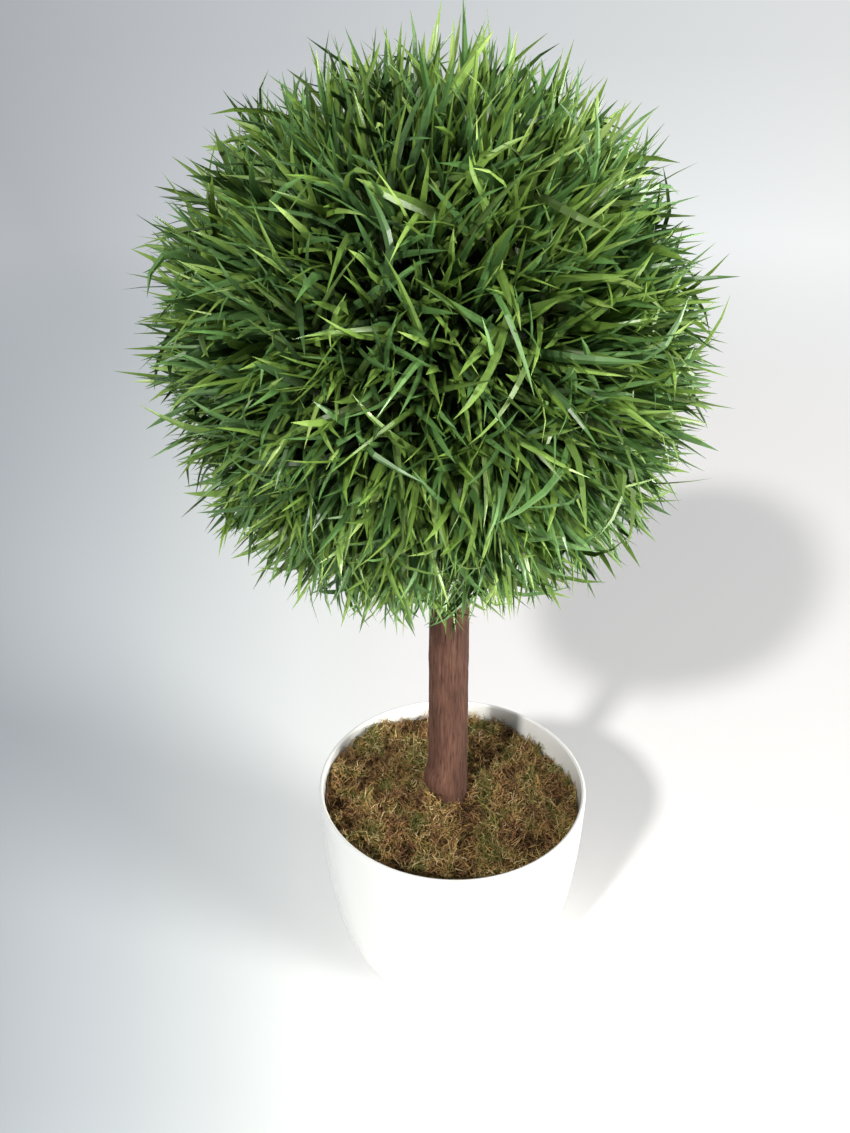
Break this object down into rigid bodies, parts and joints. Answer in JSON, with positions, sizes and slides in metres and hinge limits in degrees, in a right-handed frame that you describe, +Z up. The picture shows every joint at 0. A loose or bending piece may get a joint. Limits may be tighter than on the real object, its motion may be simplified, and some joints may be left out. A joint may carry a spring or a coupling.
{
  "type": "artificial ball topiary in a pot",
  "caption": "Potted artificial topiary: a round ball of grass-like plastic blades on a straight wooden trunk, in a bowl-sided white pot topped with moss.",
  "frame": {"origin": "centre of the pot's flat underside", "axes": "+Z up along the pot's axis, -Y towards the viewer, +X to the viewer's right"},
  "size_m": [0.2272, 0.2303, 0.4399],
  "materials": {
    "pot": "smooth glossy white",
    "plug": "rough foam",
    "moss": "dry matted fibres",
    "trunk": "rough reddish brown bark",
    "grass": "satin plastic blades in mixed greens"
  },
  "bodies": {
    "root": {"pot": "pot", "plug": "plug", "moss": "moss", "trunk": "trunk", "grass_ball": "grass"}
  },
  "joints": []
}
